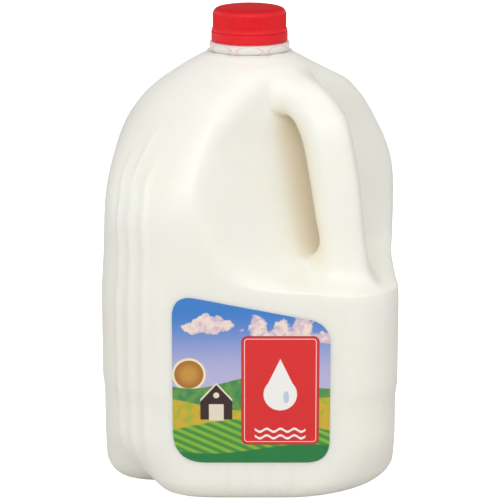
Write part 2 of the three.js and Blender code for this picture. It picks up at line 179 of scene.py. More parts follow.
# Light: each lamp's direction round the jug and above the floor in degrees, and how brightly it lights a
# surface that faces it. All are square and equally far, in metres.
LAMPS = (
    ("left", -70, 5, 0.11),
    ("front left", 15, 38, 0.11),
    ("front", 45, 34, 0.29),
    ("right", 95, 50, 0.11),
    ("top", 45, 88, 0.10),
)
LAMP_DISTANCE, LAMP_SIZE = 1.9, 1.1
LIGHT_AIM = Vector((0, 0, 0.12))
AMBIENT = 0.50
FLOOR_SIZE = 6.0
FLOOR_COLOR = (0.72, 0.71, 0.69, 1)
FLOOR_GLOW = 1.0
WHITE = (1, 1, 1, 1)

# Camera, in metres and degrees: its focal length is in pixels of a picture of the given width
CAMERA_DISTANCE, CAMERA_LIFT, CAMERA_TURN = 1.176, 13.9, 45
CAMERA_AIM = Vector((0, 0, 0.1225))
SENSOR_WIDTH, FOCAL_PIXELS, PICTURE_PIXELS = 36, 2218, 500
CAMERA_SHIFT = (0.001, -0.026)


def smooth_step(low, high, value):
    """A smooth rise from 0 at low to 1 at high."""
    t = np.clip((value - low) / (high - low), 0, 1)
    return t * t * (3 - 2 * t)


def between(rise, fall, value):
    """A smooth rise over the first range and a smooth fall over the second."""
    return smooth_step(*rise, value) * (1 - smooth_step(*fall, value))


def curve_through(pairs):
    """A smooth curve through (position, value) pairs that never overshoots them."""
    at, value = np.array(pairs, float).T
    rise = np.diff(value) / np.diff(at)
    slope = np.zeros(len(at))
    product = rise[:-1] * rise[1:]
    total = rise[:-1] + rise[1:]
    turning = product > 0
    slope[1:-1][turning] = 2 * product[turning] / total[turning]

    def curve(position):
        position = np.clip(position, at[0], at[-1])
        i = np.clip(np.searchsorted(at, position) - 1, 0, len(at) - 2)
        span = at[i + 1] - at[i]
        t = (position - at[i]) / span
        start = (1 + 2 * t) * (1 - t) ** 2 * value[i] + t * (1 - t) ** 2 * span * slope[i]
        end = t * t * (3 - 2 * t) * value[i + 1] + t * t * (t - 1) * span * slope[i + 1]
        return start + end

    return curve


half_width_at = curve_through(SIDE_PROFILE)
wall_at = curve_through(WALL_PROFILE)
rib_middle_at = curve_through(RIB_MIDDLE)
rib_pitch_at = curve_through(RIB_PITCH)
handle_at = curve_through(HANDLE_LINE)


def angle_from(angle, centre):
    """Signed angle between two directions, in degrees from -180 to 180."""
    return (angle - centre + 180) % 360 - 180


def from_handle(angle):
    """Angle away from the handle, alike on both sides of the parting plane, from 0 to 180."""
    return np.abs(angle_from(angle, 0))


def corner_radius(angle, z, half_width):
    """Radius of the corner in this direction, which grows up the shoulder and towards the foot."""
    off = from_handle(angle)
    low = np.where(off < 45, HANDLE_CORNER, np.where(off < 135, SIDE_CORNER, BACK_CORNER))
    upper = smooth_step(*ROUNDING_HEIGHTS, z)
    side = low + (half_width - low) * upper + ROUNDING_EXTRA * upper * (1 - upper)
    foot = (FOOT_ROUNDNESS - low) * (1 - np.clip(z / FOOT_CUT_HEIGHT, 0, 1)) ** FOOT_TAPER
    return np.minimum(half_width, side + foot)


def rounded_square(angle, half_width, radius):
    """Distance from the axis to a rounded square whose sides face halfway between the axes."""
    side = np.round((angle - SIDE_DIRECTION) / 90) * 90 + SIDE_DIRECTION
    off = np.radians(np.abs(angle_from(angle, side)))
    flat = half_width - radius
    along = flat * (np.cos(off) + np.sin(off))
    corner = along + np.sqrt(np.maximum(0, radius ** 2 - 2 * flat ** 2 + along ** 2))
    return np.where(half_width * np.tan(off) <= flat, half_width / np.cos(off), corner)


def rib_relief(angle, z):
    """Height of the ribs on the side corners over the plain skin."""
    off = from_handle(angle) - rib_middle_at(z)
    relief = np.zeros_like(off)
    for place, tip in zip((-1, 0, 1), RIB_TIPS):
        across = np.clip(np.abs(off - place * rib_pitch_at(z)) / RIB_HALF_WIDTH, 0, 1)
        relief += np.cos(across * np.pi / 2) ** 2 * (1 - smooth_step(tip - RIB_FADE, tip, z))
    return RIB_HEIGHT * relief * smooth_step(*RIB_FOOT, z)


def along_panel(angle):
    """Distance along a label panel from its middle, towards the handle."""
    off = np.clip(from_handle(angle) - SIDE_DIRECTION, -PANEL_SECTOR, PANEL_SECTOR)
    return -PANEL_DEPTH * np.tan(np.radians(off))


def panel_share(angle, z):
    """1 on the flat label panels, fading out over their edges."""
    side = (PANEL_HALF_WIDTH - PANEL_EDGE, PANEL_HALF_WIDTH + PANEL_EDGE)
    across = 1 - smooth_step(*side, np.abs(along_panel(angle)))
    rise = (PANEL_BOTTOM - PANEL_EDGE, PANEL_BOTTOM)
    fall = (PANEL_TOP, PANEL_TOP + PANEL_EDGE)
    return across * between(rise, fall, z)


def grooves(angle, z):
    """Depth of the upright grooves below the label."""
    along = along_panel(angle)
    depth = sum(np.exp(-(((along - place) / GROOVE_WIDTH) ** 2)) for place in GROOVE_PLACES)
    return GROOVE_DEPTH * depth * between(GROOVE_RISE, GROOVE_FALL, z)


def foot_notch(angle, z):
    """Depth of the notch in the foot below each ribbed corner."""
    off = (from_handle(angle) - NOTCH_DIRECTION) / NOTCH_WIDTH
    return NOTCH_DEPTH * np.exp(-off * off) * (1 - np.clip(z / NOTCH_HEIGHT, 0, 1)) ** FOOT_TAPER


def skin_radius(angle, z):
    """Distance from the axis to the body's skin, as it is outside the handle recess."""
    off = angle_from(angle, FULLER_MIDDLE) / FULLER_SPREAD
    fuller = FULLER_BY * np.maximum(0, 1 - off * off) * between(FULLER_RISE, FULLER_FALL, z)
    half_width = half_width_at(z) + fuller
    corner = corner_radius(angle, z, half_width)
    foot = FOOT_RADIUS - np.sqrt(FOOT_RADIUS ** 2 - np.clip(FOOT_RADIUS - z, 0, FOOT_RADIUS) ** 2)
    skin = rounded_square(angle, half_width - foot, corner - foot)
    skin += rib_relief(angle, z) - foot_notch(angle, z)
    panel = PANEL_DEPTH / np.cos(np.radians(from_handle(angle) - SIDE_DIRECTION))
    skin += panel_share(angle, z) * np.minimum(0, panel - skin)
    return skin - grooves(angle, z)


def wall_place(y, z):
    """Place along +X of the bulging wall of the handle recess."""
    return wall_at(z) - WALL_BULGE * (y / WALL_HALF_SPAN) ** 2


def past_edge(points):
    """How far the skin lies beyond the recess wall at points, in millimetres: positive within the recess."""
    angle = np.degrees(np.arctan2(points[:, 1], points[:, 0]))
    z = points[:, 2]
    reach = skin_radius(angle, z)
    skin_x, skin_y = reach * np.cos(np.radians(angle)), reach * np.sin(np.radians(angle))
    return skin_x - wall_place(skin_y, z)


def read_points(mesh, what="co"):
    """The mesh's points, or their normals, as rows."""
    points = np.empty(len(mesh.vertices) * 3)
    mesh.vertices.foreach_get(what, points)
    return points.reshape(-1, 3)


def write_points(mesh, points):
    mesh.vertices.foreach_set("co", np.ascontiguousarray(points, dtype=np.float32).ravel())
    mesh.update()


def mark_points(mesh, name, share):
    """Keeps a share from 0 to 1 on every point, for a material to read."""
    marks = mesh.attributes.new(name, "FLOAT", "POINT")
    marks.data.foreach_set("value", share.astype(np.float32))


def linked(name, data):
    """A new object in the scene."""
    made = bpy.data.objects.new(name, data)
    bpy.context.scene.collection.objects.link(made)
    return made


def mesh_of(bm, name):
    """A new mesh made of a bmesh, which is freed."""
    mesh = bpy.data.meshes.new(name)
    bm.to_mesh(mesh)
    bm.free()
    return mesh


def finished(name, mesh, material, node):
    """Makes a piece of a mesh that is already in metres and in place, and hides the node it stands for."""
    piece = linked(name, mesh)
    mesh.materials.clear()
    mesh.materials.append(material)
    mesh.shade_smooth()
    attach(piece, BODY)
    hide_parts(node)


def spun(name, profile, steps):
    """A mesh in millimetres turned from a profile of (radius, height) that starts and ends on the axis."""
    bm = bmesh.new()
    verts = [bm.verts.new((radius, 0, z)) for radius, z in profile]
    edges = [bm.edges.new(pair) for pair in zip(verts, verts[1:])]
    bmesh.ops.spin(
        bm, geom=verts + edges, cent=(0, 0, 0), axis=(0, 0, 1), angle=2 * math.pi, steps=steps,
        use_merge=True)
    bmesh.ops.remove_doubles(bm, verts=bm.verts, dist=SEAM_REACH)
    bmesh.ops.recalc_face_normals(bm, faces=bm.faces)
    return mesh_of(bm, name)


def arc(middle, radius, start, end, steps):
    """Points on an arc of a profile, its angles in degrees from straight out, upwards."""
    turns = [math.radians(start + (end - start) * i / steps) for i in range(steps + 1)]
    return [(middle[0] + radius * math.cos(turn), middle[1] + radius * math.sin(turn)) for turn in turns]


# Materials

def color(red, green, blue):
    """A colour given by the 0 to 255 numbers of a screen."""
    shares = [level / 255 for level in (red, green, blue)]
    linear = [share / 12.92 if share <= 0.04045 else ((share + 0.055) / 1.055) ** 2.4 for share in shares]
    return (*linear, 1.0)


MILK, MILK_PALE = color(250, 247, 235), color(251, 249, 239)
# Painted shade, darker and warmer, for the gap between the handle and the recess wall
GAP_PAINTED_SHADE_COLOR = color(232, 216, 184)
NECK, NECK_NEAR_CAP = color(242, 234, 228), color(250, 214, 213)
# Painted highlight on the floor of each neck scoop, and painted shade round its rim
SCOOP_PAINTED_HIGHLIGHT, SCOOP_RIM_PAINTED_SHADE = color(246, 243, 234), color(222, 200, 200)
CAP_RED, CAP_RED_PALE, CAP_RED_TOP = color(234, 38, 48), color(240, 44, 54), color(206, 22, 32)
SKY_LOW, SKY_HIGH = color(190, 186, 226), color(58, 128, 206)
CLOUD_SHADE, CLOUD_LIGHT = color(214, 190, 208), color(246, 226, 214)
SUN_GLOW, SUN_MIDDLE, SUN_RIM = color(250, 236, 200), color(206, 150, 66), color(172, 112, 44)
HILL_DARK, HILL_LIGHT = color(64, 140, 84), color(104, 160, 70)
FIELD_GOLD, FIELD_GREEN = color(216, 178, 52), color(168, 184, 52)
LAWN_DARK, LAWN_LIGHT = color(66, 150, 62), color(140, 186, 60)
MEADOW = color(30, 128, 66)
BARN_WALL, BARN_CREAM = color(54, 34, 32), color(238, 226, 206)
PLAQUE_SHADE, PLAQUE_RED, PLAQUE_PINK = color(150, 24, 30), color(226, 36, 38), color(250, 214, 208)
DROP_WHITE, DROP_SHINE = color(250, 248, 244), color(196, 212, 232)

SCOOP_SHARE = "scoop_share"
GAP_PAINTED_SHADE = "painted_gap_shade"


def new_material(name, **values):
    """A material with a Principled shader whose plain sockets are set by name."""
    made = bpy.data.materials.new(name)
    made.use_nodes = True
    shader = made.node_tree.nodes["Principled BSDF"]
    for socket, value in values.items():
        shader.inputs[socket.replace("_", " ")].default_value = value
    return made, Wires(made.node_tree), shader.inputs


class Wires:
    """Short ways to lay shader nodes."""

    def __init__(self, tree):
        self.tree = tree

    def put(self, socket, value):
        if isinstance(value, bpy.types.NodeSocket):
            self.tree.links.new(value, socket)
        else:
            socket.default_value = value

    def node(self, kind, **settings):
        made = self.tree.nodes.new(kind)
        for key, value in settings.items():
            setattr(made, key, value)
        return made

    def math(self, operation, *values):
        made = self.node("ShaderNodeMath", operation=operation)
        for socket, value in zip(made.inputs, values):
            self.put(socket, value)
        return made.outputs[0]

    def plus(self, a, b):
        return self.math("ADD", a, b)

    def minus(self, a, b):
        return self.math("SUBTRACT", a, b)

    def times(self, a, b):
        return self.math("MULTIPLY", a, b)

    def either(self, a, b):
        return self.math("MAXIMUM", a, b)

    def length(self, across, up):
        """Distance from the middle of a shape, from the distances across and up."""
        return self.math("SQRT", self.plus(self.times(across, across), self.times(up, up)))

    def fade(self, value, low, high, start=0.0, end=1.0):
        """A smooth change from start at low to end at high."""
        made = self.node("ShaderNodeMapRange", interpolation_type="SMOOTHSTEP")
        for socket, given in zip(made.inputs, (value, low, high, start, end)):
            self.put(socket, given)
        return made.outputs[0]

    def mix(self, share, a, b):
        made = self.node("ShaderNodeMix", data_type="RGBA")
        self.put(made.inputs["Factor"], share)
        self.put(made.inputs["A"], a)
        self.put(made.inputs["B"], b)
        return made.outputs["Result"]

    def noise(self, place, scale, detail, roughness=0.5):
        made = self.node("ShaderNodeTexNoise")
        self.put(made.inputs["Vector"], place)
        self.put(made.inputs["Scale"], scale)
        self.put(made.inputs["Detail"], detail)
        self.put(made.inputs["Roughness"], roughness)
        return made.outputs["Fac"]

    def place(self):
        return self.node("ShaderNodeTexCoord").outputs["Object"]

    def axes(self, place):
        made = self.node("ShaderNodeSeparateXYZ")
        self.put(made.inputs[0], place)
        return made.outputs

    def marks(self, name):
        """The share that is kept on the points of a mesh."""
        return self.node("ShaderNodeAttribute", attribute_name=name).outputs["Fac"]

    def bump(self, height, strength, distance):
        made = self.node("ShaderNodeBump")
        self.put(made.inputs["Height"], height)
        self.put(made.inputs["Strength"], strength)
        self.put(made.inputs["Distance"], distance)
        return made.outputs["Normal"]


def moulded_skin_group():
    """The skin of moulded plastic: a fine grain over slow waves, and a cloudy mottling."""
    group = bpy.data.node_groups.new("moulded_skin", "ShaderNodeTree")
    for name, kind, way in (
        ("Place", "NodeSocketVector", "INPUT"), ("Grain", "NodeSocketFloat", "INPUT"),
        ("Waves", "NodeSocketFloat", "INPUT"), ("Height", "NodeSocketFloat", "OUTPUT"),
        ("Mottle", "NodeSocketFloat", "OUTPUT"),
    ):
        group.interface.new_socket(name=name, in_out=way, socket_type=kind)
    wires = Wires(group)
    given = wires.node("NodeGroupInput").outputs
    result = wires.node("NodeGroupOutput").inputs
    grain = wires.times(wires.noise(given["Place"], scale=900, detail=2), given["Grain"])
    waves = wires.times(wires.noise(given["Place"], scale=55, detail=1), given["Waves"])
    wires.put(result["Height"], wires.plus(grain, waves))
    wires.put(result["Mottle"], wires.noise(given["Place"], scale=28, detail=3, roughness=0.55))
    return group


moulded_skin = moulded_skin_group()


def skin_of(wires, place, grain, waves):
    """Height and mottling of a moulded skin with its own share of grain and waves."""
    made = wires.node("ShaderNodeGroup", node_tree=moulded_skin)
    wires.put(made.inputs["Place"], place)
    wires.put(made.inputs["Grain"], grain)
    wires.put(made.inputs["Waves"], waves)
    return made.outputs["Height"], made.outputs["Mottle"]


def jug_material():
    """Natural translucent plastic with milk behind it, which looks thinner and pinker at the empty neck.
    Painted shade darkens and warms the gap behind the handle, and the neck's scoops get a painted highlight
    on their floors and painted shade round their rims.
    """
    made, wires, shader = new_material(
        "jug_plastic", Roughness=0.36, IOR=1.5, Subsurface_Weight=0.6, Subsurface_Scale=0.006,
        Subsurface_Radius=(1.0, 0.85, 0.65), Coat_Weight=0.0)
    place = wires.place()
    z = wires.axes(place)[2]
    height, mottle = skin_of(wires, place, grain=0.05, waves=0.35)
    milk = wires.mix(wires.fade(mottle, 0.3, 0.7), MILK, MILK_PALE)
    # Painted shade, darker and warmer, in the gap behind the handle
    milk = wires.mix(wires.times(wires.marks(GAP_PAINTED_SHADE), 0.62), milk, GAP_PAINTED_SHADE_COLOR)
    scoop = wires.marks(SCOOP_SHARE)
    # A band round each scoop's rim, which takes painted shade
    rim = wires.times(wires.fade(scoop, 0.0, 0.12), wires.fade(scoop, 0.12, 0.45, 1.0, 0.0))
    empty = wires.fade(z, 220.8 * MM, 223.2 * MM)
    near_cap = wires.fade(z, 224.0 * MM, 229.0 * MM)
    neck = wires.mix(near_cap, NECK, NECK_NEAR_CAP)
    # Painted highlight on each scoop's floor, then painted shade round its rim
    neck = wires.mix(wires.fade(scoop, 0.2, 0.6), neck, SCOOP_PAINTED_HIGHLIGHT)
    neck = wires.mix(wires.times(rim, 0.8), neck, SCOOP_RIM_PAINTED_SHADE)
    wires.put(shader["Base Color"], wires.mix(wires.either(empty, rim), milk, neck))
    wires.put(shader["Roughness"], wires.fade(mottle, 0.25, 0.75, 0.32, 0.40))
    wires.put(shader["Normal"], wires.bump(height, strength=0.25, distance=0.6 * MM))
    return made


def cap_material():
    """Red plastic, darker and duller on the cap's top."""
    made, wires, shader = new_material(
        "cap_plastic", Roughness=0.42, IOR=1.5, Specular_IOR_Level=0.15, Subsurface_Weight=0.1,
        Subsurface_Scale=0.001)
    place = wires.place()
    height, mottle = skin_of(wires, place, grain=0.5, waves=0.3)
    red = wires.mix(wires.fade(mottle, 0.3, 0.7), CAP_RED, CAP_RED_PALE)
    top = wires.fade(wires.axes(place)[2], (CAP_TOP - 3.0) * MM, (CAP_TOP - 1.2) * MM)
    rough = wires.plus(wires.fade(mottle, 0.25, 0.75, 0.36, 0.44), wires.times(top, 0.3))
    wires.put(shader["Base Color"], wires.mix(top, red, CAP_RED_TOP))
    wires.put(shader["Roughness"], rough)
    wires.put(shader["Normal"], wires.bump(height, strength=0.2, distance=0.4 * MM))
    return made


def label_material():
    """Printed film. Its print is laid out in millimetres along the label and up the jug."""
    made, wires, shader = new_material("label_film", Roughness=0.4, IOR=1.5)
    place = wires.place()
    turned = wires.node("ShaderNodeMapping", vector_type="POINT")
    wires.put(turned.inputs["Vector"], place)
    wires.put(turned.inputs["Rotation"], (0, 0, -LABEL_TURN))
    wires.put(turned.inputs["Scale"], (1 / MM, 1 / MM, 1 / MM))
    height, mottle = skin_of(wires, place, grain=0.1, waves=0.5)
    wires.put(shader["Base Color"], Print(wires, turned.outputs[0]).color())
    wires.put(shader["Roughness"], wires.fade(mottle, 0.25, 0.75, 0.34, 0.44))
    wires.put(shader["Normal"], wires.bump(height, strength=0.2, distance=0.4 * MM))
    return made


class Print:
    """The label's print: a sky over rolling fields, a sun, a barn, and a red plaque with a drop of milk.

    Each part is laid over the colours below it, from the sky forwards.
    """

    def __init__(self, wires, place):
        self.wires = wires
        self.place = place
        self.u, _, self.v = wires.axes(place)

    def color(self):
        result = self.sky()
        for part in (self.clouds, self.sun, self.fields, self.barn, self.plaque, self.drop, self.ripples):
            result = part(result)
        return result

    def below(self, value, limit, edge=PRINT_EDGE):
        """1 where the value is under the limit, with a soft edge."""
        wires = self.wires
        low = wires.minus(limit, edge) if isinstance(limit, bpy.types.NodeSocket) else limit - edge
        return wires.fade(value, low, limit, 1.0, 0.0)

    def off(self, value, middle):
        return self.wires.math("ABSOLUTE", self.wires.minus(value, middle))

    def distance(self, middle, half_width=1.0, half_height=1.0):
        """Distance from a middle, in units of an oval's half sizes."""
        across = self.wires.math("DIVIDE", self.wires.minus(self.u, middle[0]), half_width)
        up = self.wires.math("DIVIDE", self.wires.minus(self.v, middle[1]), half_height)
        return self.wires.length(across, up)

    def box_distance(self, middle, half, rounding):
        """Distance that is under the rounding inside a box with rounded corners."""
        across = self.wires.minus(self.off(self.u, middle[0]), half[0] - rounding)
        up = self.wires.minus(self.off(self.v, middle[1]), half[1] - rounding)
        return self.wires.length(self.wires.either(across, 0.0), self.wires.either(up, 0.0))

    def wave(self, length, shift, height, level):
        turn = self.wires.times(self.wires.plus(self.u, shift), 2 * math.pi / length)
        return self.wires.plus(self.wires.times(self.wires.math("SINE", turn), height), level)

    def sky(self):
        return self.wires.mix(self.wires.fade(self.v, HORIZON, SKY_TOP), SKY_LOW, SKY_HIGH)

    def clouds(self, result):
        wires = self.wires
        puffs = wires.noise(self.place, scale=0.11, detail=3, roughness=0.55)
        shares = []
        for across, up, half_width, half_height in CLOUDS:
            thinning = wires.times(self.distance((across, up), half_width, half_height), CLOUD_FALLOFF)
            shares.append(wires.fade(wires.minus(puffs, thinning), *CLOUD_EDGE))
        light = wires.fade(wires.noise(self.place, scale=0.3, detail=2), 0.35, 0.65)
        return wires.mix(wires.either(*shares), result, wires.mix(light, CLOUD_SHADE, CLOUD_LIGHT))

    def sun(self, result):
        wires = self.wires
        away = self.distance(SUN_PLACE)
        result = wires.mix(self.below(away, SUN_RADIUS + SUN_HALO), result, SUN_GLOW)
        disc = wires.mix(wires.fade(away, SUN_CORE, SUN_RADIUS), SUN_MIDDLE, SUN_RIM)
        return wires.mix(self.below(away, SUN_RADIUS), result, disc)

    def fields(self, result):
        wires = self.wires
        grain = wires.noise(self.place, scale=0.25, detail=3)
        hill = wires.mix(wires.fade(grain, 0.35, 0.65), HILL_DARK, HILL_LIGHT)
        field = wires.mix(wires.fade(grain, 0.4, 0.65), FIELD_GOLD, FIELD_GREEN)
        slanted = wires.plus(wires.times(self.u, LAWN_ROWS_SLANT), self.v)
        rows = wires.math("SINE", wires.times(slanted, LAWN_ROWS_TURN))
        lawn = wires.mix(wires.fade(rows, -0.4, 0.6), LAWN_DARK, LAWN_LIGHT)
        for wave, edge, ground in (
            (HILL_WAVE, PRINT_EDGE, hill), (FIELD_WAVE, FIELD_EDGE, field), (LAWN_WAVE, FIELD_EDGE, lawn),
            (MEADOW_WAVE, FIELD_EDGE, MEADOW),
        ):
            result = wires.mix(self.below(self.v, self.wave(*wave), edge), result, ground)
        return result

    def barn(self, result):
        wires = self.wires
        left, right, low, eaves, peak = BARN
        middle, half = (left + right) / 2, (right - left) / 2
        off = self.off(self.u, middle)
        roof = wires.minus(peak, wires.times(off, (peak - eaves) / half))
        upright = wires.times(self.below(self.v, roof), self.below(low, self.v))
        walls = wires.times(self.below(off, half), upright)
        result = wires.mix(walls, result, BARN_WALL)
        trim = wires.times(walls, self.below(wires.minus(roof, BARN_TRIM), self.v, BARN_TRIM_EDGE))
        door = self.below(self.box_distance((middle, DOOR_MIDDLE), DOOR_HALF, DOOR_CORNER), DOOR_MARGIN)
        loft = self.below(self.distance((middle, LOFT_MIDDLE)), LOFT_RADIUS)
        for share in (trim, door, loft):
            result = wires.mix(share, result, BARN_CREAM)
        return result

    def plaque(self, result):
        wires = self.wires
        away = self.box_distance(PLAQUE_MIDDLE, PLAQUE_HALF, PLAQUE_ROUND)
        result = wires.mix(self.below(away, PLAQUE_ROUND + PLAQUE_RIM), result, PLAQUE_SHADE)
        result = wires.mix(self.below(away, PLAQUE_ROUND), result, PLAQUE_RED)
        inner, outer = PLAQUE_LINE
        line = wires.times(
            self.below(away, PLAQUE_ROUND - outer, PLAQUE_LINE_EDGE),
            self.below(PLAQUE_ROUND - inner, away, PLAQUE_LINE_EDGE))
        return wires.mix(line, result, PLAQUE_PINK)

    def drop(self, result):
        wires = self.wires
        middle, level = PLAQUE_MIDDLE
        belly = self.below(self.distance((middle, level - DROP_DOWN)), DROP_RADIUS)
        narrow = wires.times(wires.minus(level + DROP_PEAK, self.v), DROP_SLOPE)
        point = self.below(self.off(self.u, middle), narrow)
        point = wires.times(point, self.below(level + DROP_JOIN, self.v))
        result = wires.mix(wires.either(belly, point), result, DROP_WHITE)
        shine_place = (middle + SHINE_OFF[0], level + SHINE_OFF[1])
        shine = self.below(self.distance(shine_place, SHINE_WIDTH), SHINE_RADIUS)
        return wires.mix(shine, result, DROP_SHINE)

    def ripples(self, result):
        wires = self.wires
        for level in RIPPLES:
            rise = wires.times(wires.math("SINE", wires.times(self.u, RIPPLE_TURN)), RIPPLE_HEIGHT)
            line = self.below(self.off(self.v, wires.plus(rise, level)), RIPPLE_THICKNESS, RIPPLE_EDGE)
            line = wires.times(line, self.below(self.off(self.u, PLAQUE_MIDDLE[0]), RIPPLE_HALF_LENGTH))
            result = wires.mix(line, result, DROP_WHITE)
        return result


# Pieces

def remeshed_jug():
    """A fine, even mesh of the jug's node, in millimetres."""
    bm = bmesh.new()
    bm.from_mesh(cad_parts["jug"].data)
    bmesh.ops.remove_doubles(bm, verts=bm.verts, dist=MERGE_REACH * MM)
    coarse = mesh_of(bm, "jug_coarse")
    holder = linked("jug_coarse", coarse)
    remesh = holder.modifiers.new("fine", "REMESH")
    remesh.mode = "VOXEL"
    remesh.voxel_size = VOXEL * MM
    remesh.adaptivity = 0.0
    view = bpy.context.evaluated_depsgraph_get()
    mesh = bpy.data.meshes.new_from_object(holder.evaluated_get(view))
    mesh.name = "jug_body"
    bpy.data.objects.remove(holder)
    bpy.data.meshes.remove(coarse)
    write_points(mesh, read_points(mesh) / MM)
    return mesh


def soften(bm, verts, rounds):
    for _ in range(rounds):
        bmesh.ops.smooth_vert(bm, verts=verts, factor=0.5, use_axis_x=True, use_axis_y=True, use_axis_z=True)


def soften_edges(mesh):
    """Rounds the whole body a little, then the recess edge and the handle's upper root more."""
    bm = bmesh.new()
    bm.from_mesh(mesh)
    soften(bm, bm.verts, BODY_ROUNDS)
    points = np.array([vert.co for vert in bm.verts])
    x, y, z = points.T
    bm.verts.ensure_lookup_table()
    far_ledge = (y > 0) & (z < LEDGE_TOP)
    on_edge = (np.abs(past_edge(points)) < EDGE_REACH) & ~far_ledge
    at_root = (z > ROOT_HEIGHTS[0]) & (z < ROOT_HEIGHTS[1]) & (x > ROOT_START)
    for chosen, rounds in ((on_edge, EDGE_ROUNDS), (at_root, ROOT_ROUNDS)):
        soften(bm, [bm.verts[i] for i in np.flatnonzero(chosen)], rounds)
    bm.to_mesh(mesh)
    bm.free()


def lay_on_exact_shape(mesh):
    """Brings the points near the exact skin and recess wall onto them, and the top inside the neck's ring."""
    points = read_points(mesh)
    x, y, z = points.T
    angle = np.degrees(np.arctan2(y, x))
    radius = np.hypot(x, y)
    skin = skin_radius(angle, z)
    past = past_edge(points)
    share = (1 - smooth_step(*SKIN_SIDE, past)) * (1 - smooth_step(*SKIN_REACH, np.abs(radius - skin)))
    share = share * between(SKIN_RISE, SKIN_FALL, z)
    radius = radius + share * (skin - radius)
    in_ring = z > RING_MIDDLE - RING_THICKNESS / 2
    radius = np.where(in_ring, np.minimum(radius, WAIST_RADIUS - BODY_INSET), radius)
    x, y = radius * np.cos(np.radians(angle)), radius * np.sin(np.radians(angle))
    wall = wall_place(y, z)
    share = smooth_step(*WALL_SIDE, past) * (1 - smooth_step(*WALL_REACH, np.abs(x - wall)))
    x = x + share * (z < WALL_TRUE_TOP) * (wall - x)
    write_points(mesh, np.stack([x, y, z], 1))


def raise_parting_line(mesh):
    """Raises the parting line along the points' normals, without going under the floor."""
    points = read_points(mesh)
    _, y, z = points.T
    ridge = PARTING_HEIGHT * np.exp(-((y / PARTING_WIDTH) ** 2)) * smooth_step(*PARTING_RISE, z)
    points = points + read_points(mesh, "normal") * ridge[:, None]
    points[:, 2] = np.maximum(points[:, 2], 0)
    write_points(mesh, points)


def mark_painted_gap_shade(mesh):
    """Marks the wall behind the handle and the handle's inner side, for painted shade in the gap."""
    x, y, z = read_points(mesh).T
    inside = 1 - smooth_step(*GAP_SHADE_PAST_HANDLE, x - handle_at(z))
    on_handle = x - wall_place(y, z) > HANDLE_CLEARANCE
    across = np.where(on_handle, GAP_SHADE_ON_HANDLE, 1 - smooth_step(*GAP_SHADE_ACROSS_WALL, np.abs(y)))
    mark_points(mesh, GAP_PAINTED_SHADE, between(GAP_SHADE_RISE, GAP_SHADE_FALL, z) * inside * across * (x > GAP_SHADE_START))


def body_mesh():
    """The jug's body and handle, remeshed finely, with soft edges and its ribs, grooves and parting line."""
    mesh = remeshed_jug()
    soften_edges(mesh)
    lay_on_exact_shape(mesh)
    raise_parting_line(mesh)
    mark_painted_gap_shade(mesh)
    write_points(mesh, read_points(mesh) * MM)
    return mesh


def neck_mesh():
    """The neck between shoulder and cap: a round bumper ring with a row of oval scoops."""
    half = RING_THICKNESS / 2
    bottom = RING_MIDDLE - half
    profile = [(0, bottom - NECK_OVERLAP), (RING_RADIUS - half, bottom - NECK_OVERLAP)]
    profile += arc((RING_RADIUS - half, RING_MIDDLE), half, -90, 90, RING_STEPS)
    profile += [(WAIST_RADIUS + WAIST_FILLET, RING_MIDDLE + half)]
    profile += [(WAIST_RADIUS, RING_MIDDLE + half + WAIST_FILLET)]
    profile += [(WAIST_RADIUS - WAIST_TAPER, WAIST_TOP), (0, WAIST_TOP)]
    mesh = spun("jug_neck", profile, NECK_STEPS)
    x, y, z = read_points(mesh).T
    angle = np.degrees(np.arctan2(y, x))
    pitch = 360 / SCOOPS
    off = (angle - SIDE_DIRECTION + pitch / 2) % pitch - pitch / 2
    across = (off / SCOOP_HALF_ANGLE) ** 2
    upright = ((z - SCOOP_MIDDLE) / SCOOP_HALF_HEIGHT) ** 2
    out = np.maximum(np.hypot(x, y), 1e-6)
    inside = np.clip(1 - across - upright, 0, 1) * (out > WAIST_RADIUS)
    scale = 1 - SCOOP_DEPTH * inside ** SCOOP_HOLLOW / out
    write_points(mesh, np.stack([x * scale, y * scale, z], 1) * MM)
    mark_points(mesh, SCOOP_SHARE, inside)
    return mesh


def cap_profile():
    """The cap's section, from the middle of its underside out, down round the band and up over the dome."""
    inner = KNURL_RADIUS - KNURL_DEPTH - CAP_WALL
    inside_top = CAP_TOP - CAP_WALL
    band_inner = BAND_RADIUS - CAP_WALL
    gap = BAND_RADIUS - GAP_DEPTH
    profile = [(0, inside_top), (inner, inside_top), (inner, BAND_TOP)]
    profile += [(band_inner, BAND_TOP - CAP_WALL), (band_inner, CAP_BOTTOM)]
    profile += arc((BAND_RADIUS - CAP_EDGE, CAP_BOTTOM + CAP_EDGE), CAP_EDGE, -90, 0, CAP_ARC_STEPS)
    band_edge = (BAND_RADIUS - BAND_EDGE, BAND_TOP - GAP_HEIGHT - BAND_EDGE)
    profile += arc(band_edge, BAND_EDGE, 0, 90, CAP_ARC_STEPS)
    profile += [(gap, BAND_TOP - GAP_HEIGHT), (gap, BAND_TOP)]
    profile += arc((BAND_RADIUS - SKIRT_INSET, BAND_TOP + CAP_EDGE), CAP_EDGE, -90, 0, CAP_ARC_STEPS)
    profile += [(BAND_RADIUS - SKIRT_CHAMFER, KNURL_BOTTOM - SKIRT_CHAMFER_HEIGHT)]
    rise = (KNURL_TOP - KNURL_BOTTOM) / KNURL_STEPS
    profile += [(KNURL_RADIUS, KNURL_BOTTOM + rise * i) for i in range(KNURL_STEPS + 1)]
    return profile + CAP_DOME + [(0, CAP_TOP)]


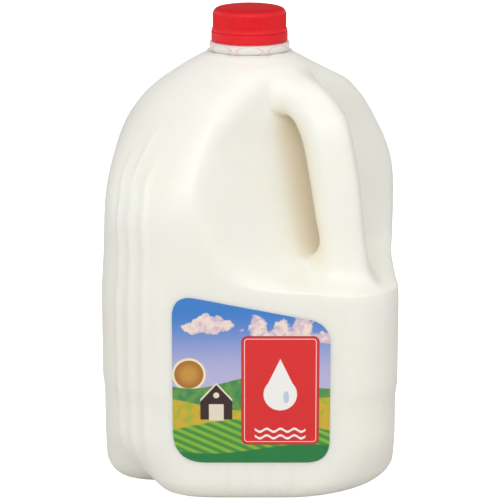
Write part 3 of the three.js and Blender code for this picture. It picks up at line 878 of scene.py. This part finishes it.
def cap_mesh():
    """The screw cap, with its knurl cut into the turned shell."""
    mesh = spun("cap_shell", cap_profile(), CAP_STEPS)
    x, y, z = read_points(mesh).T
    out = np.hypot(x, y)
    outside = out > KNURL_RADIUS - KNURL_DEPTH - KNURL_MARGIN
    on_side = outside * between(KNURL_RISE, KNURL_FALL, z)
    groove = (0.5 - 0.5 * np.cos(np.arctan2(y, x) * KNURL_RIBS)) ** KNURL_SHARPNESS
    scale = 1 - KNURL_DEPTH * groove * on_side / np.maximum(out, 1)
    write_points(mesh, np.stack([x * scale, y * scale, z], 1) * MM)
    return mesh


def label_outline():
    """The label's outline with its slanted top, each corner rounded by a curve."""
    corners = [(Vector((along, height)), reach) for along, height, reach in LABEL_CORNERS]
    outline = []
    for i, (corner, reach) in enumerate(corners):
        before, after = corners[i - 1][0], corners[(i + 1) % len(corners)][0]
        start = corner + (before - corner).normalized() * reach
        end = corner + (after - corner).normalized() * reach
        for k in range(LABEL_CURVE_STEPS + 1):
            t = k / LABEL_CURVE_STEPS
            outline.append(start * (1 - t) ** 2 + corner * 2 * t * (1 - t) + end * t ** 2)
    return outline


def label_mesh():
    """The label's film, laid just off the panel."""
    bm = bmesh.new()
    back = -(PANEL_DEPTH + LABEL_GAP)
    face = bm.faces.new([bm.verts.new((point.x, back, point.y)) for point in label_outline()])
    lifted = bmesh.ops.extrude_face_region(bm, geom=[face])["geom"]
    front = [item for item in lifted if isinstance(item, bmesh.types.BMVert)]
    bmesh.ops.translate(bm, verts=front, vec=(0, -LABEL_THICKNESS, 0))
    rim = [edge for edge in bm.edges if all(vert in front for vert in edge.verts)]
    bmesh.ops.bevel(bm, geom=rim, offset=LABEL_EDGE, affect="EDGES", segments=3, profile=0.5, material=-1)
    bmesh.ops.recalc_face_normals(bm, faces=bm.faces)
    bmesh.ops.rotate(bm, verts=bm.verts, cent=(0, 0, 0), matrix=Matrix.Rotation(LABEL_TURN, 3, "Z"))
    bmesh.ops.scale(bm, verts=bm.verts, vec=(MM, MM, MM))
    return mesh_of(bm, "label_film")


# Stage, light and camera

def direction(turn, lift):
    """Direction from the jug, in degrees round from -Y towards +X and up from the floor."""
    turn, lift = math.radians(turn), math.radians(lift)
    return Vector((math.sin(turn) * math.cos(lift), -math.cos(turn) * math.cos(lift), math.sin(lift)))


def look_back(holder, aim, away):
    """Puts a lamp or camera at a distance from its aim and turns it to look there."""
    holder.location = aim + away
    holder.rotation_euler = (-away).to_track_quat("-Z", "Y").to_euler()


def make_floor():
    """A plain pale floor, which the camera sees as white."""
    bm = bmesh.new()
    bmesh.ops.create_grid(bm, x_segments=1, y_segments=1, size=FLOOR_SIZE)
    mesh = mesh_of(bm, "floor")
    pale, wires, shader = new_material(
        "floor_white", Base_Color=FLOOR_COLOR, Roughness=0.9, Emission_Color=WHITE)
    seen = wires.node("ShaderNodeLightPath").outputs["Is Camera Ray"]
    wires.put(shader["Emission Strength"], wires.times(seen, FLOOR_GLOW))
    mesh.materials.append(pale)
    linked("floor", mesh)


def make_light():
    """Soft studio light from square lamps round the jug, in a pale room that the camera sees as white."""
    world = bpy.data.worlds.new("studio")
    bpy.context.scene.world = world
    world.use_nodes = True
    wires = Wires(world.node_tree)
    background = world.node_tree.nodes["Background"]
    seen = wires.node("ShaderNodeLightPath").outputs["Is Camera Ray"]
    wires.put(background.inputs["Strength"], wires.fade(seen, 0, 1, AMBIENT, 1.0))
    wires.put(background.inputs["Color"], WHITE)
    for name, turn, lift, share in LAMPS:
        lamp = bpy.data.lights.new(name, "AREA")
        lamp.shape = "RECTANGLE"
        lamp.size = LAMP_SIZE
        lamp.size_y = LAMP_SIZE
        lamp.energy = share * math.pi ** 2 * LAMP_DISTANCE ** 2
        look_back(linked(name, lamp), LIGHT_AIM, LAMP_DISTANCE * direction(turn, lift))


def make_camera():
    """The camera at the photograph's angle: 45 degrees round from the flat front, a little above the jug."""
    lens = bpy.data.cameras.new("camera")
    lens.sensor_width = SENSOR_WIDTH
    lens.lens = SENSOR_WIDTH * FOCAL_PIXELS / PICTURE_PIXELS
    lens.shift_x, lens.shift_y = CAMERA_SHIFT
    holder = linked("camera", lens)
    look_back(holder, CAMERA_AIM, CAMERA_DISTANCE * direction(CAMERA_TURN, CAMERA_LIFT))
    bpy.context.scene.camera = holder


make_camera()
make_floor()
make_light()
bpy.context.scene.view_settings.view_transform = "Standard"

jug_plastic = jug_material()
finished("jug_body", body_mesh(), jug_plastic, "jug")
finished("jug_neck", neck_mesh(), jug_plastic, "jug")
finished("cap_shell", cap_mesh(), cap_material(), "cap")
finished("label_print", label_mesh(), label_material(), "label")
